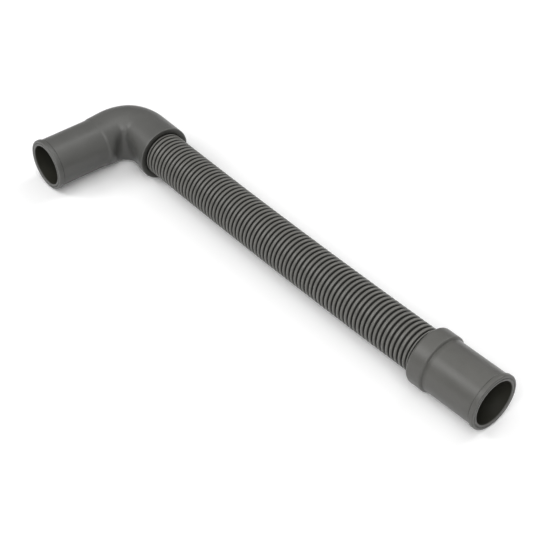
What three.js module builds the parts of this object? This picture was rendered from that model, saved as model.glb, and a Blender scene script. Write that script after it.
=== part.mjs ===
// Drain hose: a corrugated hose with a moulded elbow on one end and a straight cuff on the other.
// Millimetres, +Z up. The hose leaves the elbow's socket face at x = 0 along +X, with its axis on y = 0 and
// z = 0, and lies in a slight curve. The elbow turns towards -Y in the same level plane. The last lines set
// the whole part down on the plane z = 0, with the origin under the middle of its outline.
import * as THREE from "three";

// Every piece is round, and is turned with the same number of sides.
const SIDES = 24;

// Corrugated hose
const RIB_PITCH = 4;
const HOSE_RIBS = 79;
const HOSE_RADIUS = 17.2;
const GROOVE_DEPTH = 1.5;
const GROOVE_WIDTH = 1.7;
const HOSE_WALL = 0.7;
const HOSE_CURVE_DEGREES = 2.8;
const HOSE_BORE_STEPS = 6;

// The sockets that hold the two ends of the hose
const ELBOW_SEAT = 14;
const CUFF_SEAT = 12;
const SEAT_CLEARANCE = 0.3;
const STOP_LIP_WIDTH = 2;

// Bore of both mouths, which push over a pipe stub
const MOUTH_BORE_RADIUS = 16;
const MOUTH_EDGE_ROUND = 0.5;

// Elbow
const ELBOW_BODY_RADIUS = 21.8;
const ELBOW_FACE_ROUND = 0.9;
const ELBOW_NECK_LENGTH = 25;
const ELBOW_BEND_DEGREES = 90;
const ELBOW_BEND_RADIUS = 20;
const ELBOW_INSIDE_RADIUS = 5.5;
const ELBOW_TUCK_LENGTH = 9;
const ELBOW_BEND_STEPS = 8;
const ARM_SHOULDER_FROM_BEND = 12;
const ARM_SHOULDER_HEIGHT = 0.6;
const ARM_SHOULDER_LENGTH = 1.6;
const ARM_LENGTH = 60;
const ARM_WALL = 3.3;
const ARM_BEAD_WIDTH = 6.5;
const ARM_BEAD_HEIGHT = 1;

// Straight cuff
const CUFF_COLLAR_RADIUS = 21.8;
const CUFF_COLLAR_WIDTH = 10.4;
const CUFF_COLLAR_ROUND = 2.6;
const CUFF_SHOULDER_LENGTH = 3.5;
const CUFF_LENGTH = 60;
const CUFF_WALL = 4.2;
const CUFF_BEAD_WIDTH = 6.5;
const CUFF_BEAD_HEIGHT = 1;

// Rounds of the beads, and how finely rounds and shoulders are stepped
const BEAD_ROUND = 1.5;
const BEAD_FOOT = 0.6;
const ROUND_STEPS = 2;
const SHOULDER_STEPS = 3;

// Sizes that follow from the ones above
const HOSE_LENGTH = HOSE_RIBS * RIB_PITCH;
const EXPOSED_LENGTH = HOSE_LENGTH - ELBOW_SEAT - CUFF_SEAT;
const HOSE_BORE_RADIUS = HOSE_RADIUS - GROOVE_DEPTH - HOSE_WALL;
const HOSE_CURVE = THREE.MathUtils.degToRad(HOSE_CURVE_DEGREES);
const SOCKET_RADIUS = HOSE_RADIUS + SEAT_CLEARANCE;
const ARM_RADIUS = MOUTH_BORE_RADIUS + ARM_WALL;
const CUFF_RADIUS = MOUTH_BORE_RADIUS + CUFF_WALL;
const BEND_ANGLE = THREE.MathUtils.degToRad(ELBOW_BEND_DEGREES);
const BEND_LENGTH = ELBOW_BEND_RADIUS * BEND_ANGLE;
const BEND_END = ELBOW_NECK_LENGTH + BEND_LENGTH;
const BEND_MIDDLE = ELBOW_NECK_LENGTH + BEND_LENGTH / 2;
const ARM_SHOULDER = BEND_END + ARM_SHOULDER_FROM_BEND;
const ELBOW_LENGTH = BEND_END + ARM_LENGTH;

// A profile is a list of points (radius, distance along the axis). It runs up the outside and back down
// the bore, and ends on its first point, so that the turned solid is a closed tube.
const at = (radius, along) => new THREE.Vector2(radius, along);

// Quarter round between two points of a profile. It leaves the first point along the axis when
// "axisFirst" is true, and radially when it is false.
function quarterRound(from, to, axisFirst) {
  const points = [];
  for (let i = 0; i <= ROUND_STEPS; i += 1) {
    const angle = (i / ROUND_STEPS) * (Math.PI / 2);
    const early = Math.sin(angle);
    const late = 1 - Math.cos(angle);
    const radial = axisFirst ? late : early;
    const axial = axisFirst ? early : late;
    points.push(at(THREE.MathUtils.lerp(from.x, to.x, radial), THREE.MathUtils.lerp(from.y, to.y, axial)));
  }
  return points;
}

// Smooth step of 0 to 1 as "share" goes from 0 to 1, level at both ends.
function eased(share) {
  return (1 - Math.cos(THREE.MathUtils.clamp(share, 0, 1) * Math.PI)) / 2;
}

// Smooth shoulder between two radii.
function shoulder(from, to) {
  const points = [];
  for (let i = 0; i <= SHOULDER_STEPS; i += 1) {
    const share = i / SHOULDER_STEPS;
    const radius = THREE.MathUtils.lerp(from.x, to.x, eased(share));
    points.push(at(radius, THREE.MathUtils.lerp(from.y, to.y, share)));
  }
  return points;
}

// Outside and rim of a mouth whose end face lies at "end": the foot of the bead, its band, the rounded
// rim, the flat end face and the rounded edge of the bore.
function beadedMouth(tubeRadius, beadHeight, beadWidth, end) {
  const beadRadius = tubeRadius + beadHeight;
  const foot = end - beadWidth;
  const boreEdge = at(MOUTH_BORE_RADIUS + MOUTH_EDGE_ROUND, end);
  return [
    at(tubeRadius, foot),
    at(beadRadius, foot + BEAD_FOOT),
    ...quarterRound(at(beadRadius, end - BEAD_ROUND), at(beadRadius - BEAD_ROUND, end), true),
    ...quarterRound(boreEdge, at(MOUTH_BORE_RADIUS, end - MOUTH_EDGE_ROUND), false),
  ];
}

// Bore from behind the mouth to the face on the hose: the stop lip that the hose end seats against, flush
// with the bore of the hose, and then the socket.
function socketBore(seat) {
  const floor = seat + SEAT_CLEARANCE;
  return [
    at(MOUTH_BORE_RADIUS, floor + STOP_LIP_WIDTH),
    at(HOSE_BORE_RADIUS, floor + STOP_LIP_WIDTH),
    at(HOSE_BORE_RADIUS, floor),
    at(SOCKET_RADIUS, floor),
    at(SOCKET_RADIUS, 0),
  ];
}

// Turns a profile about +Y and lays the solid down along +X, with its start at "start".
function turned(profile, start) {
  const solid = new THREE.LatheGeometry([...profile, profile[0].clone()], SIDES);
  return solid.rotateZ(-Math.PI / 2).translate(start, 0, 0);
}

// Moves every vertex of a geometry by a function that changes the point it is given.
function reshaped(geometry, change) {
  const position = geometry.getAttribute("position");
  const point = new THREE.Vector3();
  for (let i = 0; i < position.count; i += 1) {
    change(point.fromBufferAttribute(position, i));
    position.setXYZ(i, point.x, point.y, point.z);
  }
  return geometry;
}

// Bends what lies along +X to the left, evenly from "start" over "length", until it has turned by "angle".
// What lies before the bend stays, and what lies after it stays straight.
function bent(geometry, start, length, angle) {
  const radius = length / angle;
  return reshaped(geometry, (point) => {
    const heading = THREE.MathUtils.clamp((point.x - start) / length, 0, 1) * angle;
    const before = Math.min(point.x - start, 0);
    const after = Math.max(point.x - start - length, 0);
    const fromCentre = radius - point.y;
    point.x = start + before + fromCentre * Math.sin(heading) + after * Math.cos(heading);
    point.y = radius - fromCentre * Math.cos(heading) + after * Math.sin(heading);
  });
}

// The corrugations: flat-topped ribs with narrow V-shaped grooves between them, and a plain bore that has
// enough steps to follow the hose's curve.
function hoseGeometry() {
  const profile = [];
  for (let rib = 0; rib < HOSE_RIBS; rib += 1) {
    const groove = rib * RIB_PITCH;
    profile.push(
      at(HOSE_RADIUS - GROOVE_DEPTH, groove),
      at(HOSE_RADIUS, groove + GROOVE_WIDTH / 2),
      at(HOSE_RADIUS, groove + RIB_PITCH - GROOVE_WIDTH / 2),
    );
  }
  profile.push(at(HOSE_RADIUS - GROOVE_DEPTH, HOSE_LENGTH));
  for (let step = HOSE_BORE_STEPS; step >= 0; step -= 1) {
    profile.push(at(HOSE_BORE_RADIUS, (step / HOSE_BORE_STEPS) * HOSE_LENGTH));
  }
  return bent(turned(profile, -ELBOW_SEAT), 0, EXPOSED_LENGTH, HOSE_CURVE);
}

// The straight cuff, measured from its face on the hose to its mouth.
function cuffGeometry() {
  const collar = CUFF_COLLAR_RADIUS;
  const profile = [
    ...quarterRound(at(collar - CUFF_COLLAR_ROUND, 0), at(collar, CUFF_COLLAR_ROUND), false),
    ...shoulder(at(collar, CUFF_COLLAR_WIDTH), at(CUFF_RADIUS, CUFF_COLLAR_WIDTH + CUFF_SHOULDER_LENGTH)),
    ...beadedMouth(CUFF_RADIUS, CUFF_BEAD_HEIGHT, CUFF_BEAD_WIDTH, CUFF_LENGTH),
    ...socketBore(CUFF_SEAT),
  ];
  return turned(profile, 0);
}

// Draws the inside of the elbow's bend in, so that it keeps a small round of its own and the bend is as
// tight as a moulded one. The inside is the side towards +Y before the elbow is bent.
function tucked(geometry) {
  const narrowed = (ELBOW_BEND_RADIUS - ELBOW_INSIDE_RADIUS) / ELBOW_BODY_RADIUS;
  return reshaped(geometry, (point) => {
    const fromNeck = point.x - ELBOW_NECK_LENGTH + ELBOW_TUCK_LENGTH;
    const fromArm = BEND_END + ELBOW_TUCK_LENGTH - point.x;
    const share = eased(Math.min(fromNeck, fromArm) / ELBOW_TUCK_LENGTH);
    if (point.y > 0) {
      point.y *= THREE.MathUtils.lerp(1, Math.min(narrowed, 1), share);
    }
  });
}

// The elbow, measured along its centreline from its face on the hose to its mouth. Its body narrows from
// the middle of the bend to the low shoulder where the arm begins.
function elbowGeometry() {
  const body = ELBOW_BODY_RADIUS;
  const armHead = ARM_RADIUS + ARM_SHOULDER_HEIGHT;
  const stations = [ELBOW_NECK_LENGTH - ELBOW_TUCK_LENGTH, ELBOW_NECK_LENGTH - ELBOW_TUCK_LENGTH / 2];
  for (let i = 0; i <= ELBOW_BEND_STEPS; i += 1) {
    stations.push(THREE.MathUtils.lerp(ELBOW_NECK_LENGTH, BEND_END, i / ELBOW_BEND_STEPS));
  }
  stations.push(BEND_END + ELBOW_TUCK_LENGTH / 2, BEND_END + ELBOW_TUCK_LENGTH);
  const bodyAt = (along) => {
    const share = THREE.MathUtils.clamp((along - BEND_MIDDLE) / (ARM_SHOULDER - BEND_MIDDLE), 0, 1);
    return at(THREE.MathUtils.lerp(body, armHead, share), along);
  };
  const boreStations = stations.filter((along) => along > ELBOW_SEAT + SEAT_CLEARANCE + STOP_LIP_WIDTH);
  const profile = [
    ...quarterRound(at(body - ELBOW_FACE_ROUND, 0), at(body, ELBOW_FACE_ROUND), false),
    ...stations.map(bodyAt),
    ...shoulder(at(armHead, ARM_SHOULDER), at(ARM_RADIUS, ARM_SHOULDER + ARM_SHOULDER_LENGTH)),
    ...beadedMouth(ARM_RADIUS, ARM_BEAD_HEIGHT, ARM_BEAD_WIDTH, ELBOW_LENGTH),
    ...boreStations.reverse().map((along) => at(MOUTH_BORE_RADIUS, along)),
    ...socketBore(ELBOW_SEAT),
  ];
  const bend = bent(tucked(turned(profile, 0)), ELBOW_NECK_LENGTH, BEND_LENGTH, BEND_ANGLE);
  return bend.rotateZ(Math.PI);
}

const ELBOW_GREY = new THREE.MeshStandardMaterial({ color: 0x656563, roughness: 0.6, metalness: 0 });
const CUFF_GREY = new THREE.MeshStandardMaterial({ color: 0x6f6e6c, roughness: 0.6, metalness: 0 });
const HOSE_GREY = new THREE.MeshStandardMaterial({ color: 0x73726e, roughness: 0.45, metalness: 0 });

function namedMesh(name, geometry, material) {
  const mesh = new THREE.Mesh(geometry, material);
  mesh.name = name;
  return mesh;
}

// The cuff stands at the end of the exposed hose and points the way that the hose does there.
const hoseEnd = new THREE.Group();
const curveRadius = EXPOSED_LENGTH / HOSE_CURVE;
hoseEnd.position.set(curveRadius * Math.sin(HOSE_CURVE), curveRadius * (1 - Math.cos(HOSE_CURVE)), 0);
hoseEnd.rotation.z = HOSE_CURVE;
hoseEnd.add(namedMesh("straight_cuff", cuffGeometry(), CUFF_GREY));

const drainHose = new THREE.Group();
drainHose.add(
  namedMesh("elbow_connector", elbowGeometry(), ELBOW_GREY),
  namedMesh("corrugated_hose", hoseGeometry(), HOSE_GREY),
  hoseEnd,
);

// Sets the part down on z = 0, with the origin under the middle of its outline.
const outline = new THREE.Box3().setFromObject(drainHose, true);
const middle = outline.getCenter(new THREE.Vector3());
drainHose.position.set(-middle.x, -middle.y, -outline.min.z);

export default drainHose;
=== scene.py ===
import math

import bpy
import numpy as np
from bpy.props import FloatProperty, FloatVectorProperty, IntProperty, PointerProperty
from mathutils import Matrix, Vector


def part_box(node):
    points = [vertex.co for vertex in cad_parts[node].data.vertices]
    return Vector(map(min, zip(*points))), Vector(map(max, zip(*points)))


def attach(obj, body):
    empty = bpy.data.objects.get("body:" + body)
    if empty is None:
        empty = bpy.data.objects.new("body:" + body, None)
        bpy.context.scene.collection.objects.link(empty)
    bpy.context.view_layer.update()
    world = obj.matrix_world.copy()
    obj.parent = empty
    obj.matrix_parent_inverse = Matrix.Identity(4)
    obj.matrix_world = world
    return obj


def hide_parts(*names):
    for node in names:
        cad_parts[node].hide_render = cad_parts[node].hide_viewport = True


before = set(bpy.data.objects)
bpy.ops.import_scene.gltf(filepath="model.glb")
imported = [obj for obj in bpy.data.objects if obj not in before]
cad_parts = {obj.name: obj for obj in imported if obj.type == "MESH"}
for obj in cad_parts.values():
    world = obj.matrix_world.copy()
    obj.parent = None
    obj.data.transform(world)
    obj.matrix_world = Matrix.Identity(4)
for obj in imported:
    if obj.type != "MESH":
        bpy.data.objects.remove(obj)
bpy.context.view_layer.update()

bl_info = {
    "name": "Drain Hose",
    "version": (1, 0, 0),
    "blender": (4, 5, 0),
    "location": "3D View > Sidebar > Drain Hose",
    "description": "Builds a corrugated drain hose with a moulded elbow and a straight cuff",
    "category": "Add Mesh",
}

MM = 0.001
# How square the elbow's section stays where its inside is drawn in.
TUCK_POWER = 8
# Pixels across the picture and millimetres across the camera's sensor.
IMAGE_WIDTH = 550
SENSOR_WIDTH = 36.0
# The long even steps of a barrel stop this far before a bead, and those of a bore this far before a stop lip.
BEFORE_BEAD = 1.5 * MM
BEFORE_LIP = 1.0 * MM
# Steps along the elbow's body and along its bore.
BODY_STEPS = 90
BORE_STEPS = 70
# Places across half a rib, as shares of its foot. They lie closer together where the flank is steep.
FLANK = (0.42, 0.68, 0.84, 0.93, 0.98, 1.0)
# Steps along each wave of the hose's bore.
BORE_WAVE_STEPS = 4
# Painted shade in a crease, from 0 to 1, and how far it reaches.
BEAD_FOOT_SHADE = (0.55, 1.1 * MM)
MOUTH_GROOVE_SHADE = (0.25, 0.7 * MM)
COLLAR_FOOT_SHADE = (0.5, 1.6 * MM)
# Where along the collar's shoulder the painted shade at its foot is darkest, as a share of the shoulder.
COLLAR_FOOT = 0.8
# Painted shade on the elbow's face on the hose, from 0 to 1, and how much of the round on its edge it leaves
# unshaded.
FACE_SHADE = 0.45
FACE_EDGE = 0.6
# How much darker and paler the clouding of each material is, as a share of its colour.
RUBBER_CLOUDING = 0.07
HOSE_CLOUDING = 0.06
# How many times paler than its colour the grain of each material is.
RUBBER_GRAIN = 1.3
HOSE_GRAIN = 1.25
# How far the rubber's roughness goes up and down with the clouding.
ROUGHNESS_SPREAD = 0.05

ELBOW_LOW, ELBOW_HIGH = (Vector(corner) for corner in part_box("elbow_connector"))


def length(name, description, default_mm):
    """A length property, with its default given in millimetres."""
    return FloatProperty(
        name=name, description=description, default=default_mm * MM, unit="LENGTH", subtype="DISTANCE",
        precision=5,
    )


def angle(name, description, degrees):
    """An angle property, with its default given in degrees."""
    return FloatProperty(
        name=name, description=description, default=math.radians(degrees), unit="ROTATION", subtype="ANGLE",
    )


def colour(name, description, value):
    """A colour property, from linear red, green and blue."""
    return FloatVectorProperty(
        name=name, description=description, default=value, size=3, min=0.0, max=1.0, subtype="COLOR",
    )


def share(name, description, value):
    """A plain number from 0 to 1."""
    return FloatProperty(
        name=name, description=description, default=value, min=0.0, max=1.0, subtype="FACTOR",
    )


def number(name, description, value):
    """A plain number of any size."""
    return FloatProperty(name=name, description=description, default=value)


def metres(name, description, value):
    """A length property, with its default given in metres."""
    return FloatProperty(name=name, description=description, default=value, unit="LENGTH")


def watts(name, description, value):
    """A lamp's power, in watts."""
    return FloatProperty(name=name, description=description, default=value, unit="POWER")


class HoseSizes(bpy.types.PropertyGroup):
    """Sizes of the corrugated hose."""

    pitch: length("Rib pitch", "Distance from one groove to the next", 4.0)
    ribs: IntProperty(
        name="Ribs", description="Number of ribs, those inside the sockets included", default=79, min=8,
    )
    radius: length("Radius", "Outside radius over the ribs", 17.2)
    depth: length("Groove depth", "How deep the grooves are", 1.8)
    groove_floor: length("Groove floor", "Width of the flat bottom of a groove", 1.1)
    end_rib: share("End rib", "Width of the two ribs beside the sockets, as a share of the others", 0.55)
    wall: length("Wall", "Wall between the groove bottoms and the bore", 0.4)
    bore_wave: length("Bore wave", "How far the ribs show as hollows in the bore", 0.7)
    elbow_seat: length("Seat in the elbow", "Length of hose inside the elbow", 14.0)
    cuff_seat: length("Seat in the cuff", "Length of hose inside the straight cuff", 12.0)
    curve: angle("Curve", "How far the hose turns between its two sockets", 2.8)
    sides: IntProperty(name="Sides", description="Steps round the hose", default=64, min=12)


class SocketSizes(bpy.types.PropertyGroup):
    """Sizes shared by the sockets and mouths of the elbow and the cuff."""

    clearance: length("Clearance", "Gap between the hose and its socket", 0.3)
    lip: length("Stop lip", "Width of the lip that the hose end seats against", 2.0)
    bore: length("Mouth bore", "Radius of the bore that goes over a pipe stub", 16.0)
    edge: length("Bore edge", "Round on the edge of the bore", 0.5)
    lip_stand: length("Lip stand", "How far the lip round the bore stands out in front of the bead", 0.15)
    lip_width: length("Lip width", "Width of the lip round the bore", 1.7)
    lip_round: length("Lip round", "Round on the lip's outer edge", 0.4)
    mouth_groove: length("Mouth groove", "Width of the fine groove beside the lip", 0.6)
    mouth_groove_depth: length("Mouth groove depth", "Depth of the groove beside the lip", 0.36)
    bead_width: length("Bead width", "Width of the bead at a mouth", 4.0)
    bead_height: length("Bead height", "How far the bead stands above the barrel", 0.97)
    bead_round: length("Bead round", "Round on the bead's outer corner", 1.0)
    bead_foot: length("Bead foot", "Depth of the fine groove at the foot of the bead", 0.35)
    foot_length: length("Foot length", "Length over which the barrel dips to the foot of the bead", 0.9)
    back_lean: length("Back lean", "How far the back of the bead leans", 0.25)
    back_round: length("Back round", "Height of the round on the bead's back corner", 0.5)
    back_length: length("Back length", "Length of the round on the bead's back corner", 0.65)
    chamfer: length("Chamfer", "Chamfer on the edges of the socket and of the stop lip", 0.4)
    sides: IntProperty(name="Sides", description="Steps round the elbow and the cuff", default=144, min=24)


class ElbowSizes(bpy.types.PropertyGroup):
    """Sizes of the elbow."""

    body: length("Body radius", "Radius of the body round the socket and the bend", 21.65)
    face_round: length("Face round", "Round on the edge of the face on the hose", 0.7)
    neck: length("Neck", "Straight length from the face to the bend", 25.0)
    bend: length("Bend radius", "Radius of the bend's centreline", 20.0)
    inside: length("Inside radius", "Radius of the round on the inside of the bend", 3.6)
    shift: length("Inner shift", "How far the inside's own bend lies back and out from the centre", 0.8)
    neck_tuck: length("Neck tuck", "Length over which the inside is drawn in before the bend", 26.0)
    arm_tuck: length("Arm tuck", "Length over which the inside is drawn in after the bend", 13.0)
    lean: share("Lean", "How much less the inside is drawn in at the top than at the bottom", 0.14)
    bulge: share("Bulge", "How far the outside of the bend is filled out, as a share of the radius", 0.055)
    soft_start: share("Soft start", "Share of the fall to the shoulder over which it sets in", 0.08)
    shoulder: length("Shoulder", "Distance from the end of the bend to the shoulder of the arm", 12.0)
    shoulder_height: length("Shoulder height", "Height of the arm's shoulder", 0.6)
    shoulder_length: length("Shoulder length", "Length of the arm's shoulder", 3.2)
    arm: length("Arm length", "Length from the end of the bend to the mouth", 60.0)
    arm_wall: length("Arm wall", "Wall of the arm", 3.3)


class CuffSizes(bpy.types.PropertyGroup):
    """Sizes of the straight cuff."""

    collar: length("Collar radius", "Radius of the collar round the socket", 21.8)
    collar_width: length("Collar width", "Width of the collar", 13.0)
    collar_round: length("Collar round", "Round on the collar's edge on the hose", 2.6)
    shoulder_length: length("Shoulder length", "Length of the shoulder behind the collar", 1.9)
    length: length("Length", "Length from the face on the hose to the mouth", 60.0)
    lead_in: length("Lead-in", "How much wider the bore is at the mouth", 0.9)
    lead_in_length: length("Lead-in length", "Length over which the bore narrows behind the mouth", 12.0)
    wall: length("Wall", "Wall of the barrel", 4.2)


class Finishes(bpy.types.PropertyGroup):
    """Colours and finishes."""

    elbow: colour("Elbow rubber", "Colour of the elbow", (0.096, 0.096, 0.091))
    cuff: colour("Cuff rubber", "Colour of the straight cuff", (0.098, 0.097, 0.090))
    hose: colour("Hose plastic", "Colour of the ribs", (0.139, 0.137, 0.126))
    # This colour is painted shade at the bottom of the hose's grooves.
    groove: colour("Groove grime", "Colour at the bottom of the grooves", (0.010, 0.010, 0.008))
    # This colour is painted shade in the bores and creases of the rubber pieces. The depth below is how far
    # into a bore the painted shade takes to reach its full.
    shade_paint: colour("Dirt", "Colour of the dirt in the bores and creases", (0.0268, 0.0266, 0.0208))
    painted_shade_depth: length("Dirt depth", "How far behind a mouth the dirt in the bore is at its full", 0.5)
    rubber_roughness: share("Rubber roughness", "Roughness of the two rubber pieces", 0.39)
    hose_roughness: share("Hose roughness", "Roughness of the hose", 0.38)


class Studio(bpy.types.PropertyGroup):
    """Camera, floor and lights."""

    camera_place: FloatVectorProperty(
        name="Camera place", description="Where the camera stands, from the middle of the elbow's face",
        default=(0.7641986, -0.5054291, 0.6875114), size=3, subtype="XYZ", unit="LENGTH",
    )
    yaw: angle("Camera yaw", "Turn of the camera about the vertical, from +Y", -51.131)
    pitch: angle("Camera pitch", "How far the camera looks down", 41.76)
    focal: number("Focal length", "Focal length in pixels of the picture", 1461.67)
    floor: metres("Floor size", "Width of the floor", 12.0)
    floor_shown: number("Floor shown", "Colour of the floor to the camera and in reflections", 1.06)
    floor_tone: share("Floor tone", "Colour of the floor as it lights the hose", 0.25)
    sky: number("Surround light", "Strength of the light from all round", 0.18)
    lamp_distance: metres("Lamp distance", "Distance of the lamps from the hose", 2.0)
    front: watts("Front lamp", "Power of the lamp by the camera", 22.0)
    low: watts("Low lamp", "Power of the low lamp in front", 6.5)
    left: watts("Left lamp", "Power of the lamp on the left", 11.5)
    rear: watts("Rear lamp", "Power of the low lamp behind", 10.0)
    upper: watts("Upper lamp", "Power of the high lamp behind", 2.5)
    top: watts("Top lamp", "Power of the wide lamp overhead", 7.5)


# Bearing from +X and height in degrees, and width in metres.
LAMPS = {
    "front": (321.0, 46.0, 1.8),
    "low": (294.0, 29.0, 1.0),
    "left": (232.0, 43.0, 0.9),
    "rear": (88.0, 38.0, 0.9),
    "upper": (101.0, 61.0, 0.5),
    "top": (0.0, 90.0, 1.6),
}

GROUPS = {
    "hose": HoseSizes, "socket": SocketSizes, "elbow": ElbowSizes, "cuff": CuffSizes, "finish": Finishes,
    "studio": Studio,
}


class DrainHose(bpy.types.PropertyGroup):
    """Every setting of the drain hose."""

    hose: PointerProperty(type=HoseSizes, name="Hose", description="Sizes of the corrugated hose")
    socket: PointerProperty(type=SocketSizes, name="Sockets", description="Sizes of the sockets and mouths")
    elbow: PointerProperty(type=ElbowSizes, name="Elbow", description="Sizes of the elbow")
    cuff: PointerProperty(type=CuffSizes, name="Cuff", description="Sizes of the straight cuff")
    finish: PointerProperty(type=Finishes, name="Finishes", description="Colours and finishes")
    studio: PointerProperty(type=Studio, name="Studio", description="Camera, floor and lights")


def settings():
    """Every setting of the drain hose."""
    return bpy.context.scene.drain_hose


# Places


def origin():
    """The middle of the elbow's face on the hose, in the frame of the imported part."""
    elbow = settings().elbow
    return Vector((ELBOW_HIGH.x, ELBOW_LOW.y + elbow.bend + elbow.arm, (ELBOW_LOW.z + ELBOW_HIGH.z) / 2))


def exposed():
    """Length of the hose that shows between its sockets."""
    hose = settings().hose
    return hose.pitch * hose.ribs - hose.elbow_seat - hose.cuff_seat


def eased(value):
    """Smooth step of 0 to 1 as the value goes from 0 to 1, level at both ends."""
    return (1 - np.cos(np.clip(value, 0, 1) * math.pi)) / 2


def ramp(value):
    """Rise of 0 to 1 as the value goes from 0 to 1: one square curve up to the middle and one after it."""
    value = np.clip(value, 0, 1)
    return np.where(value < 0.5, 2 * value ** 2, 1 - 2 * (1 - value) ** 2)


def on_hose_path(along, side, up):
    """Point beside the hose's centreline. The centreline is an arc of even curvature over the exposed length,
    turning to the left, and is straight before and after it."""
    whole_turn = settings().hose.curve
    span = exposed()
    radius = span / whole_turn
    turned = np.clip(along / span, 0, 1) * whole_turn
    before = np.minimum(along, 0)
    after = np.maximum(along - span, 0)
    from_centre = radius - side
    x = before + from_centre * np.sin(turned) + after * np.cos(turned)
    y = radius - from_centre * np.cos(turned) + after * np.sin(turned)
    return np.stack([x, y, up], axis=-1)


def on_elbow_path(along, side, up):
    """Point beside the elbow's centreline, which leaves the face along -X, turns a quarter circle and runs on
    along -Y. The inside of the bend is drawn in: with p the tuck power, c the share of the radius that points
    inwards and d how far the inside is drawn in, the side is scaled by

        (1 + (d ** -p - 1) * c ** p) ** (-1 / p)

    which is d right on the inside and 1 at the top. The inside also turns about its own centre, which leaves
    it a smaller round. That makes its path longer by (2 - pi / 2) shifts, made up before the shoulder. The
    outside is filled out by the square of the sine of twice the angle turned."""
    elbow = settings().elbow
    quarter = elbow.bend * math.pi / 2
    radius = np.hypot(side, up)
    inward, level = np.maximum(-side, 0) / radius, up / radius
    narrowed = (elbow.bend - elbow.shift - elbow.inside) / elbow.body
    into = ramp(1 + (along - elbow.neck) / elbow.neck_tuck)
    out_of = ramp(1 + (elbow.neck + quarter - along) / elbow.arm_tuck)
    tuck = np.minimum(into, out_of)
    drawn = np.minimum(1 + (narrowed - 1 + elbow.lean * level) * tuck, 1.0)
    pull = (1 + (drawn ** -TUCK_POWER - 1) * inward ** TUCK_POWER) ** (-1 / TUCK_POWER)
    outer_turned = np.clip((along - elbow.neck) / elbow.bend, 0, math.pi / 2)
    filled = 1 + elbow.bulge * np.sin(2 * outer_turned) ** 2
    side = np.where(side > 0, side * filled, side * pull)
    shift = elbow.shift * inward ** 2
    bend, neck = elbow.bend - shift, elbow.neck + shift
    shoulder = elbow.neck + quarter + elbow.shoulder
    gone = along + (2 - math.pi / 2) * shift * np.clip(along / shoulder, 0, 1)
    turned = np.clip((gone - neck) / bend, 0, math.pi / 2)
    before = np.minimum(gone, neck)
    after = np.maximum(gone - neck - bend * math.pi / 2, 0)
    x = -before - (bend + side) * np.sin(turned)
    y = -bend + (bend + side) * np.cos(turned) - after
    return np.stack([x, y, up], axis=-1)


# Profiles


def line(start, end, steps):
    """Points (radius, along) from start to end, the end left out."""
    part = np.linspace(0, 1, steps, endpoint=False)[:, None]
    return np.array(start) + part * (np.array(end) - np.array(start))


def corner(start, end, steps=7, axis_first=True):
    """Quarter round from start to end, the end left out. It leaves the start along the axis, or radially."""
    turn = np.linspace(0, math.pi / 2, steps, endpoint=False)
    early, late = np.sin(turn), 1 - np.cos(turn)
    radial, axial = (late, early) if axis_first else (early, late)
    start, end = np.array(start), np.array(end)
    return start + np.stack([radial, axial], axis=-1) * (end - start)


def wave(start, end, steps=10):
    """Smooth shoulder from start to end, level at both, the end left out."""
    part = np.linspace(0, 1, steps, endpoint=False)
    start, end = np.array(start), np.array(end)
    return start + np.stack([eased(part), part], axis=-1) * (end - start)


def wave_in(start, end, steps):
    """Smooth step along the axis between two radii, level with the face at both, the end left out."""
    part = np.linspace(0, 1, steps, endpoint=False)
    start, end = np.array(start), np.array(end)
    return start + np.stack([part, eased(part)], axis=-1) * (end - start)


def beaded_mouth(tube, end, bore):
    """Outside of a mouth: the foot of the bead, its band with a rounded front corner, the fine groove, the
    lip round the bore and the rounded edge of the bore."""
    socket = settings().socket
    bead = tube + socket.bead_height
    low = tube - socket.bead_foot
    foot = end - socket.bead_width
    dip = foot - socket.foot_length
    back_low = (bead - socket.back_round, foot + socket.back_lean)
    back = foot + socket.back_lean + socket.back_length
    front = end - socket.lip_stand
    rim = bead - socket.bead_round
    lip = bore + socket.lip_width
    ditch = lip + socket.mouth_groove
    ditch_floor = (lip + socket.mouth_groove / 2, front - socket.mouth_groove_depth)
    return np.concatenate([
        line((tube, foot - BEFORE_BEAD), (tube, dip), steps=3),
        wave((tube, dip), (low, foot), steps=6),
        line((low, foot), back_low, steps=3),
        corner(back_low, (bead, back), steps=5, axis_first=False),
        line((bead, back), (bead, front - socket.bead_round), steps=8),
        corner((bead, front - socket.bead_round), (rim, front), steps=9),
        line((rim, front), (ditch, front), steps=3),
        wave_in((ditch, front), ditch_floor, steps=4),
        wave_in(ditch_floor, (lip, front), steps=4),
        corner((lip, front), (lip - socket.lip_round, end), steps=7),
        line((lip - socket.lip_round, end), (bore + socket.edge, end), steps=3),
        corner((bore + socket.edge, end), (bore, end - socket.edge), steps=6, axis_first=False),
    ])


def through_bore():
    """Radius of the bore through the hose, which both stop lips share."""
    hose = settings().hose
    return hose.radius - hose.depth - hose.wall


def lip_end(seat):
    """Where the stop lip behind a seat of the hose ends and the wider bore begins."""
    socket = settings().socket
    return seat + socket.clearance + socket.lip


def socket_bore(seat):
    """The stop lip that the hose end seats against and the socket, down to the face on the hose."""
    socket = settings().socket
    through = through_bore()
    wide = settings().hose.radius + socket.clearance
    floor = seat + socket.clearance
    behind = lip_end(seat)
    chamfered = socket.bore - socket.chamfer
    return np.concatenate([
        line((socket.bore, behind + socket.chamfer), (chamfered, behind), steps=2),
        line((chamfered, behind), (through, behind), steps=2),
        line((through, behind), (through, floor), steps=3),
        line((through, floor), (wide, floor), steps=3),
        line((wide, floor), (wide, socket.chamfer), steps=8),
        line((wide, socket.chamfer), (wide + socket.chamfer, 0), steps=2),
    ])


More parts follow.
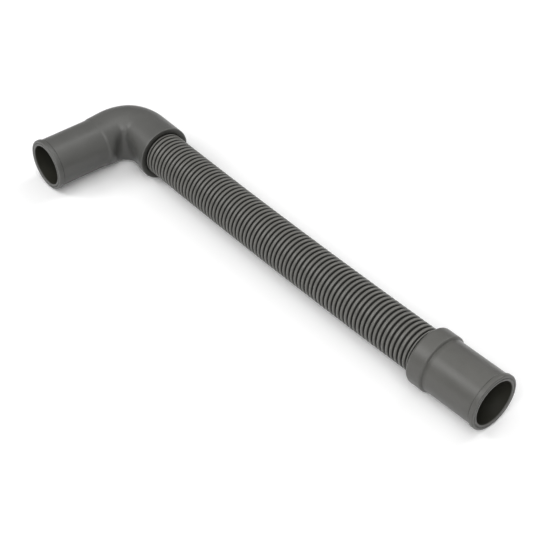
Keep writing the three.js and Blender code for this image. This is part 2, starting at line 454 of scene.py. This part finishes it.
def hose_profile():
    """Closed profile of the hose, with how deep each point lies in a groove, from 0 to 1. Across a rib, with
    t from -1 to 1 from groove to groove, the drop is 1 - (1 - (|t| / foot) ** 3) ** 0.5, so that the top is
    round and the flanks are steep, and it is 1 beyond the foot. The bore is a low cosine wave."""
    hose = settings().hose
    foot = 1 - hose.groove_floor / hose.pitch
    flank = np.array(FLANK) * foot
    across = np.concatenate([[-1.0], -flank[::-1], [0.0], flank])
    rib = np.arange(hose.ribs)[:, None]
    # The ribs beside the sockets are narrower. The first keeps its far end in place, the last its near end.
    first = int(hose.elbow_seat / hose.pitch)
    last = round((exposed() + hose.elbow_seat) / hose.pitch) - 1
    width = np.where((rib == first) | (rib == last), hose.end_rib, 1.0)
    start = rib + np.where(rib == first, 1 - hose.end_rib, 0.0)
    along = ((start + (0.5 + across / 2) * width) * hose.pitch).ravel()
    drop = 1 - np.sqrt(1 - np.minimum(np.abs(across) / foot, 1) ** 3)
    drop = np.tile(drop, hose.ribs)
    along, drop = np.append(along, hose.ribs * hose.pitch), np.append(drop, 1.0)
    outside = np.stack([hose.radius - hose.depth * drop, along], axis=-1)
    back = np.arange(hose.ribs * BORE_WAVE_STEPS + 1)[::-1] / BORE_WAVE_STEPS * hose.pitch
    hollow = 0.5 - 0.5 * np.cos(back / hose.pitch * 2 * math.pi)
    inside = np.stack([through_bore() + hose.bore_wave * hollow, back], axis=-1)
    profile = np.concatenate([outside, inside])
    groove = np.concatenate([drop, np.zeros(len(inside))])
    profile[:, 1] -= hose.elbow_seat
    return profile, groove


def elbow_profile():
    """Closed profile of the elbow along its centreline, from its face on the hose to its mouth and back. From
    the middle of the bend to the shoulder its radius falls evenly, after a soft start."""
    elbow, socket, seat = settings().elbow, settings().socket, settings().hose.elbow_seat
    quarter = elbow.bend * math.pi / 2
    middle = elbow.neck + quarter / 2
    shoulder = elbow.neck + quarter + elbow.shoulder
    end = elbow.neck + quarter + elbow.arm
    tube = socket.bore + elbow.arm_wall
    head = tube + elbow.shoulder_height
    outer = np.linspace(elbow.face_round, shoulder, BODY_STEPS, endpoint=False)
    part = np.clip((outer - middle) / (shoulder - middle), 0, 1)
    soft = elbow.soft_start
    fallen = np.where(part < soft, part ** 2 / (2 * soft), part - soft / 2) / (1 - soft / 2)
    body = np.stack([elbow.body + (head - elbow.body) * fallen, outer], axis=-1)
    after = shoulder + elbow.shoulder_length
    rim = elbow.body - elbow.face_round
    # Where the painted shade in the bore reaches its full.
    shade_full = end - socket.edge - settings().finish.painted_shade_depth
    return np.concatenate([
        corner((rim, 0), (elbow.body, elbow.face_round), steps=6, axis_first=False),
        body,
        wave((head, shoulder), (tube, after), steps=8),
        line((tube, after), (tube, end - socket.bead_width - BEFORE_BEAD), steps=14),
        beaded_mouth(tube, end, socket.bore),
        line((socket.bore, end - socket.edge), (socket.bore, shade_full), steps=3),
        line((socket.bore, shade_full), (socket.bore, lip_end(seat) + BEFORE_LIP), steps=BORE_STEPS),
        socket_bore(seat),
    ])


def near(profile, along, radius, reach):
    """1 at the profile's point beside (radius, along), falling to 0 at a reach."""
    away = np.hypot(profile[:, 0] - radius, profile[:, 1] - along)
    return 1 - eased(away / reach)


def grime(profile, tube, bore, creases):
    """How much painted shade lies at each point of a profile, from 0 to 1: all of it in the bore and less in
    the creases, each of which is (along, radius, (shade, reach)). The two fine grooves of the mouth are
    always among them."""
    finish, socket = settings().finish, settings().socket
    radius, along = profile[:, 0], profile[:, 1]
    end = along.max()
    behind = end - socket.edge - along
    in_bore = np.arange(len(profile)) > np.argmax(along)
    shade_paint = np.where(in_bore, np.clip(behind / finish.painted_shade_depth, 0, 1), 0.0)
    ditch = bore + socket.lip_width + socket.mouth_groove / 2
    places = [
        (end - socket.bead_width, tube - socket.bead_foot, BEAD_FOOT_SHADE),
        (end - socket.lip_stand - socket.mouth_groove_depth, ditch, MOUTH_GROOVE_SHADE),
        *creases,
    ]
    for place, out, (amount, reach) in places:
        shade_paint = np.maximum(shade_paint, amount * near(profile, place, out, reach))
    return shade_paint


def cuff_profile():
    """Closed profile of the straight cuff, from its face on the hose to its mouth and back."""
    cuff, socket = settings().cuff, settings().socket
    tube = socket.bore + cuff.wall
    after = cuff.collar_width + cuff.shoulder_length
    seat = settings().hose.cuff_seat
    # Where the painted shade in the bore reaches its full.
    shade_full = cuff.length - socket.edge - settings().finish.painted_shade_depth
    narrow = shade_full - cuff.lead_in_length
    wide = socket.bore + cuff.lead_in
    rim = cuff.collar - cuff.collar_round
    return np.concatenate([
        corner((rim, 0), (cuff.collar, cuff.collar_round), steps=10, axis_first=False),
        line((cuff.collar, cuff.collar_round), (cuff.collar, cuff.collar_width), steps=6),
        wave((cuff.collar, cuff.collar_width), (tube, after), steps=14),
        line((tube, after), (tube, cuff.length - socket.bead_width - BEFORE_BEAD), steps=14),
        beaded_mouth(tube, cuff.length, wide),
        line((wide, cuff.length - socket.edge), (wide, shade_full), steps=3),
        wave((wide, shade_full), (socket.bore, narrow), steps=8),
        line((socket.bore, narrow), (socket.bore, lip_end(seat) + BEFORE_LIP), steps=12),
        socket_bore(seat),
    ])


# Meshes


def placed(name, data):
    """A new object for a mesh, a lamp or a camera, in the scene."""
    made = bpy.data.objects.new(name, data)
    bpy.context.scene.collection.objects.link(made)
    return made


def carried(name, profile, sides, path, **marks):
    """A closed profile of (radius, along) carried round a path. Grid point (i, j) lies at along_i on the
    path, radius_i out from it in the direction 2 pi j / sides. Rows and columns both close on themselves.
    Each mark is a number for each point of the profile, kept on the mesh for its material."""
    rows = len(profile)
    around = np.arange(sides) / sides * 2 * math.pi
    radius, along = profile[:, 0, None], profile[:, 1, None]
    along_all = np.broadcast_to(along, (rows, sides))
    points = path(along_all, radius * np.cos(around), radius * np.sin(around)) + np.array(origin())
    grid = np.arange(rows * sides).reshape(rows, sides)
    ahead, beside = np.roll(grid, -1, axis=0), np.roll(grid, -1, axis=1)
    faces = np.stack([grid, ahead, np.roll(ahead, -1, axis=1), beside], axis=-1).reshape(-1, 4)
    points = points.reshape(-1, 3)
    if volume(points, faces) < 0:
        faces = faces[:, ::-1]
    mesh = bpy.data.meshes.new(name)
    mesh.vertices.add(len(points))
    mesh.vertices.foreach_set("co", points.astype(np.float32).ravel())
    mesh.loops.add(faces.size)
    mesh.loops.foreach_set("vertex_index", faces.astype(np.int32).ravel())
    mesh.polygons.add(len(faces))
    mesh.polygons.foreach_set("loop_start", np.arange(0, faces.size, 4, dtype=np.int32))
    mesh.polygons.foreach_set("use_smooth", np.ones(len(faces), dtype=bool))
    mesh.update(calc_edges=True)
    for mark, values in marks.items():
        values = np.repeat(values, sides).astype(np.float32)
        mesh.attributes.new(mark, "FLOAT", "POINT").data.foreach_set("value", values)
    if mesh.validate(verbose=False):
        raise RuntimeError(name + " has faces that Blender had to mend")
    return placed(name, mesh)


def volume(points, faces):
    """Volume inside a closed skin: the sum of the tetrahedra from the origin to each half of each face."""
    a, b, c, d = (points[faces[:, k]] for k in range(4))
    return float(np.einsum("ij,ij->", a, np.cross(b, c)) + np.einsum("ij,ij->", a, np.cross(c, d))) / 6


# Materials


# Places of the colour sockets on a mix node.
MIX_FACTOR, MIX_A, MIX_B, MIX_RESULT = 0, 6, 7, 2


def shade(value, factor=1.0):
    """A colour made darker or paler by a factor, with an alpha of 1."""
    return (*(part * factor for part in value), 1.0)


class Shading:
    """A material's node tree, with short calls to add and join nodes."""

    def __init__(self, name):
        self.material = bpy.data.materials.new(name)
        self.material.use_nodes = True
        self.tree = self.material.node_tree
        self.tree.nodes.clear()

    def node(self, kind, inputs=None, **options):
        """A new node. Each input is a plain value or the socket that feeds it."""
        made = self.tree.nodes.new(kind)
        for key, value in options.items():
            setattr(made, key, value)
        for key, value in (inputs or {}).items():
            if isinstance(value, bpy.types.NodeSocket):
                self.tree.links.new(value, made.inputs[key])
            else:
                made.inputs[key].default_value = value
        return made

    def noise(self, place, scale, detail, roughness=0.55):
        """Noise from 0 to 1, at a scale in waves a metre."""
        inputs = {"Vector": place, "Scale": scale, "Detail": detail, "Roughness": roughness}
        return self.node("ShaderNodeTexNoise", inputs).outputs["Fac"]

    def ranged(self, value, low, high, to_low=0.0, to_high=1.0):
        """The value, with low to high spread over to_low to to_high."""
        inputs = {"Value": value, "From Min": low, "From Max": high, "To Min": to_low, "To Max": to_high}
        return self.node("ShaderNodeMapRange", inputs).outputs["Result"]

    def mixed(self, factor, a, b):
        """Colour a where the factor is 0, and b where it is 1."""
        made = self.node("ShaderNodeMix", {MIX_FACTOR: factor, MIX_A: a, MIX_B: b}, data_type="RGBA")
        return made.outputs[MIX_RESULT]

    def toned(self, base, clouding, spread, grains, paler):
        """The base colour, darker and paler by the spread with its clouding, and so many times paler in its
        grains."""
        clouded = self.mixed(clouding, shade(base, 1 - spread), shade(base, 1 + spread))
        return self.mixed(grains, clouded, shade(base, paler))

    def bump(self, height, strength, distance, normal=None):
        """A bumped normal, on top of another where one is given."""
        inputs = {"Height": height, "Strength": strength, "Distance": distance}
        if normal is not None:
            inputs["Normal"] = normal
        return self.node("ShaderNodeBump", inputs).outputs["Normal"]

    def finish(self, shader):
        """Joins the shader to the output and gives the material."""
        self.node("ShaderNodeOutputMaterial", {"Surface": shader.outputs[0]})
        return self.material


def rubber(name, base):
    """Moulded rubber: an even grey with faint clouding, a fine matt grain and a soft sheen."""
    finish = settings().finish
    shading = Shading(name)
    place = shading.node("ShaderNodeTexCoord").outputs["Object"]
    cloud = shading.noise(place, scale=45.0, detail=3.0)
    ripple = shading.noise(place, scale=160.0, detail=3.0)
    grain = shading.noise(place, scale=1500.0, detail=2.0)
    clouding = shading.ranged(cloud, low=0.3, high=0.7)
    grains = shading.ranged(grain, low=0.3, high=0.75, to_high=0.35)
    coloured = shading.toned(base, clouding, RUBBER_CLOUDING, grains, RUBBER_GRAIN)
    # Painted shade: the mesh's mark darkens the colour towards the shade colour in the bores and creases.
    shaded = shading.node("ShaderNodeAttribute", attribute_name="grime").outputs["Fac"]
    coloured = shading.mixed(shaded, coloured, shade(finish.shade_paint))
    smoothest = finish.rubber_roughness - ROUGHNESS_SPREAD
    roughest = finish.rubber_roughness + ROUGHNESS_SPREAD
    rough = shading.ranged(cloud, low=0.3, high=0.7, to_low=smoothest, to_high=roughest)
    normal = shading.bump(grain, strength=0.25, distance=0.12 * MM)
    normal = shading.bump(ripple, strength=0.12, distance=0.6 * MM, normal=normal)
    shader = shading.node("ShaderNodeBsdfPrincipled", {
        "Base Color": coloured, "Roughness": rough, "Normal": normal, "Specular IOR Level": 0.45,
    })
    return shading.finish(shader)


def hose_plastic(name):
    """Satin plastic: paler on the ribs, with painted shade that darkens the bottom of the grooves."""
    finish = settings().finish
    shading = Shading(name)
    place = shading.node("ShaderNodeTexCoord").outputs["Object"]
    depth = shading.node("ShaderNodeAttribute", attribute_name="groove").outputs["Fac"]
    cloud = shading.noise(place, scale=60.0, detail=3.0)
    grain = shading.noise(place, scale=1300.0, detail=2.0)
    clouding = shading.ranged(cloud, low=0.3, high=0.7)
    grains = shading.ranged(grain, low=0.35, high=0.75, to_high=0.25)
    coloured = shading.toned(finish.hose, clouding, HOSE_CLOUDING, grains, HOSE_GRAIN)
    # Painted shade: the deeper a point lies in a groove, the more its colour goes over to the groove colour.
    groove_shade = shading.ranged(depth, low=0.08, high=0.55)
    coloured = shading.mixed(groove_shade, coloured, shade(finish.groove))
    rough = shading.ranged(depth, low=0.2, high=0.9, to_low=finish.hose_roughness, to_high=0.85)
    normal = shading.bump(grain, strength=0.2, distance=0.1 * MM)
    shader = shading.node("ShaderNodeBsdfPrincipled", {
        "Base Color": coloured, "Roughness": rough, "Normal": normal, "Specular IOR Level": 0.5,
    })
    return shading.finish(shader)


def floor_material():
    """Pale floor: it shows white to the camera and in reflections, keeps the shadow, and lights the hose from
    below as a pale grey."""
    studio = settings().studio
    shading = Shading("studio_floor")
    rays = shading.node("ShaderNodeLightPath").outputs
    seen = rays["Is Camera Ray"]
    for kind in ("Is Glossy Ray", "Is Transmission Ray"):
        seen = shading.node("ShaderNodeMath", {0: seen, 1: rays[kind]}, operation="MAXIMUM").outputs[0]
    shown = shade((studio.floor_shown,) * 3)
    tone = shade((studio.floor_tone,) * 3)
    coloured = shading.mixed(seen, tone, shown)
    shader = shading.node("ShaderNodeBsdfDiffuse", {"Color": coloured})
    return shading.finish(shader)


# Operators


def finished(piece, material, nodes):
    """Gives a piece its material and its body, and hides the imported solids it stands for."""
    piece.data.materials.append(material)
    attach(piece, "root")
    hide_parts(*nodes)


class BuildHose(bpy.types.Operator):
    """Builds the corrugated hose"""

    bl_idname = "drain_hose.build_hose"
    bl_label = "Corrugated Hose"
    bl_options = {"REGISTER", "UNDO"}

    def execute(self, context):
        profile, groove = hose_profile()
        piece = carried("hose_skin", profile, settings().hose.sides, on_hose_path, groove=groove)
        finished(piece, hose_plastic("hose_plastic"), ["corrugated_hose"])
        return {"FINISHED"}


class BuildElbow(bpy.types.Operator):
    """Builds the moulded elbow"""

    bl_idname = "drain_hose.build_elbow"
    bl_label = "Elbow"
    bl_options = {"REGISTER", "UNDO"}

    def execute(self, context):
        elbow, socket = settings().elbow, settings().socket
        profile = elbow_profile()
        # Painted shade in the bore and the fine grooves of the mouth, and over the elbow's face on the hose
        # but not the round on its edge.
        shade_paint = grime(profile, socket.bore + elbow.arm_wall, socket.bore, [])
        radius, along = profile[:, 0], profile[:, 1]
        on_face = (along < elbow.face_round) & (radius < elbow.body - FACE_EDGE * elbow.face_round)
        shade_paint = np.where(on_face, FACE_SHADE, shade_paint)
        piece = carried("elbow_skin", profile, socket.sides, on_elbow_path, grime=shade_paint)
        finished(piece, rubber("elbow_rubber", settings().finish.elbow), ["elbow_connector"])
        return {"FINISHED"}


class BuildCuff(bpy.types.Operator):
    """Builds the straight cuff"""

    bl_idname = "drain_hose.build_cuff"
    bl_label = "Straight Cuff"
    bl_options = {"REGISTER", "UNDO"}

    def execute(self, context):
        cuff, socket = settings().cuff, settings().socket
        profile = cuff_profile()
        tube = socket.bore + cuff.wall
        # Painted shade in the bore, in the fine grooves of the mouth and at the foot of the collar.
        foot = (cuff.collar_width + COLLAR_FOOT * cuff.shoulder_length, tube, COLLAR_FOOT_SHADE)
        shade_paint = grime(profile, tube, socket.bore + cuff.lead_in, [foot])
        profile[:, 1] += exposed()
        piece = carried("cuff_skin", profile, socket.sides, on_hose_path, grime=shade_paint)
        finished(piece, rubber("cuff_rubber", settings().finish.cuff), ["straight_cuff"])
        return {"FINISHED"}


class BuildStage(bpy.types.Operator):
    """Builds the floor, the lights and the camera"""

    bl_idname = "drain_hose.build_stage"
    bl_label = "Studio"
    bl_options = {"REGISTER", "UNDO"}

    def execute(self, context):
        scene = context.scene
        studio = settings().studio
        scene.view_settings.view_transform = "Standard"
        self.floor(studio)
        self.surround(scene, studio)
        for name, (bearing, height, width) in LAMPS.items():
            self.lamp(studio, name, math.radians(bearing), math.radians(height), width)
        self.camera(scene, studio)
        return {"FINISHED"}

    def floor(self, studio):
        """A square floor under the hose."""
        half = studio.floor / 2
        corners = [(-half, -half, 0), (half, -half, 0), (half, half, 0), (-half, half, 0)]
        mesh = bpy.data.meshes.new("studio_floor")
        mesh.from_pydata(corners, [], [(0, 1, 2, 3)])
        mesh.materials.append(floor_material())
        floor = placed("studio_floor", mesh)

    def surround(self, scene, studio):
        """An even white light from all round."""
        world = bpy.data.worlds.new("studio_surround")
        world.use_nodes = True
        nodes, links = world.node_tree.nodes, world.node_tree.links
        nodes.clear()
        background = nodes.new("ShaderNodeBackground")
        background.inputs["Color"].default_value = (1.0, 1.0, 1.0, 1.0)
        background.inputs["Strength"].default_value = studio.sky
        out = nodes.new("ShaderNodeOutputWorld")
        links.new(background.outputs[0], out.inputs["Surface"])
        scene.world = world

    def lamp(self, studio, name, bearing, height, width):
        """A round soft lamp that faces the middle of the hose."""
        data = bpy.data.lights.new(name + "_lamp", "AREA")
        data.shape = "DISK"
        data.size = width
        data.energy = getattr(studio, name)
        lamp = placed(name + "_lamp", data)
        level = math.cos(height)
        towards = Vector((math.cos(bearing) * level, math.sin(bearing) * level, math.sin(height)))
        lamp.location = towards * studio.lamp_distance
        lamp.rotation_euler = (-towards).to_track_quat("-Z", "Y").to_euler()

    def camera(self, scene, studio):
        """The camera, at the photograph's angle."""
        data = bpy.data.cameras.new("camera")
        data.sensor_width = SENSOR_WIDTH
        data.lens = studio.focal / IMAGE_WIDTH * SENSOR_WIDTH
        data.clip_start = 0.05
        data.clip_end = 50.0
        yaw, pitch = studio.yaw, studio.pitch
        level = math.cos(pitch)
        forward = Vector((math.sin(yaw) * level, math.cos(yaw) * level, -math.sin(pitch)))
        right = Vector((math.cos(yaw), -math.sin(yaw), 0.0))
        up = right.cross(forward)
        turn = Matrix((right, up, -forward)).transposed().to_4x4()
        camera = placed("camera", data)
        camera.matrix_world = Matrix.Translation(origin() + Vector(studio.camera_place)) @ turn
        scene.camera = camera


OPERATORS = (BuildStage, BuildElbow, BuildHose, BuildCuff)


class DrainHosePanel(bpy.types.Panel):
    """Lists the operators and settings of the drain hose"""

    bl_idname = "VIEW3D_PT_drain_hose"
    bl_label = "Drain Hose"
    bl_space_type = "VIEW_3D"
    bl_region_type = "UI"
    bl_category = "Drain Hose"

    def draw(self, context):
        layout = self.layout
        for operator in OPERATORS:
            layout.operator(operator.bl_idname)
        for key, group in GROUPS.items():
            box = layout.box()
            box.label(text=key.capitalize())
            for prop in group.__annotations__:
                box.prop(getattr(context.scene.drain_hose, key), prop)


CLASSES = (*GROUPS.values(), DrainHose, *OPERATORS, DrainHosePanel)


def register():
    for cls in CLASSES:
        bpy.utils.register_class(cls)
    bpy.types.Scene.drain_hose = PointerProperty(type=DrainHose)


def unregister():
    del bpy.types.Scene.drain_hose
    for cls in reversed(CLASSES):
        bpy.utils.unregister_class(cls)


def main():
    register()
    for operator in OPERATORS:
        group, name = operator.bl_idname.split(".")
        getattr(getattr(bpy.ops, group), name)()


if __name__ == "__main__":
    main()
